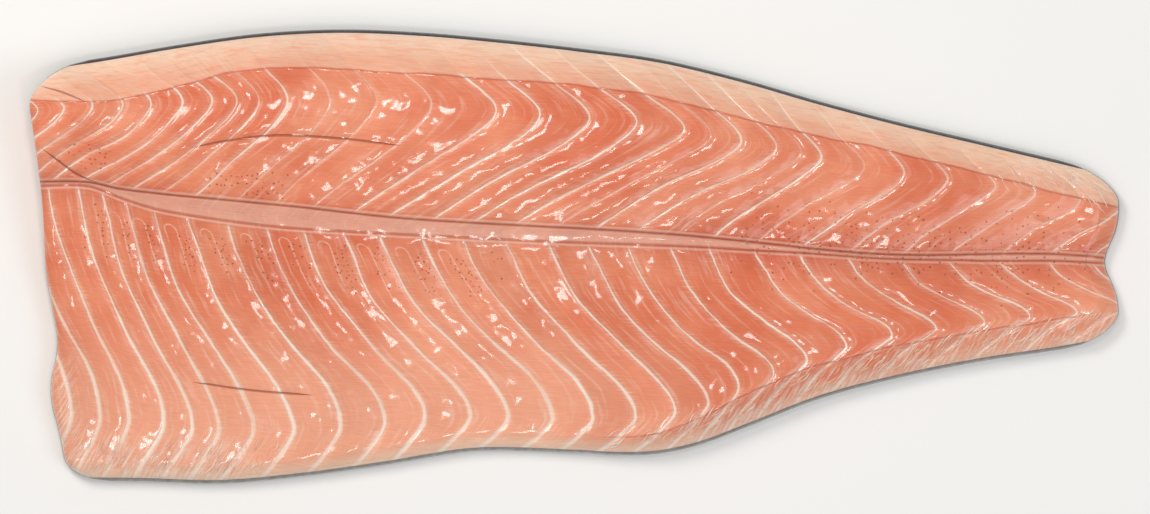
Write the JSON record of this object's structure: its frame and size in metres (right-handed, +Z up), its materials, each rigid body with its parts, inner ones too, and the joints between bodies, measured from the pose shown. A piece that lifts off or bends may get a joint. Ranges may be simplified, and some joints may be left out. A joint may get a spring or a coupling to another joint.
{
  "type": "salmon fillet",
  "caption": "Whole raw side of salmon, skin on, lying flesh up: thick loin, thin belly flap, chevron flakes, backbone channel, notched tail end. Skin below curls up at the edges.",
  "frame": {"origin": "under the middle of the fillet's bounding box, on the surface it lies on", "axes": "+X from the head cut to the tail end, +Y from the belly edge to the back edge, +Z up from the skin to the flesh"},
  "size_m": [0.5445, 0.2271, 0.0348],
  "materials": {
    "flesh": "raw salmon flesh: orange pink with pale fat lines, moist and softly glossy",
    "skin": "scaled salmon skin: silver belly, slate back with dark spots, moist"
  },
  "bodies": {
    "root": {"flesh": "flesh", "skin": "skin"}
  },
  "joints": []
}
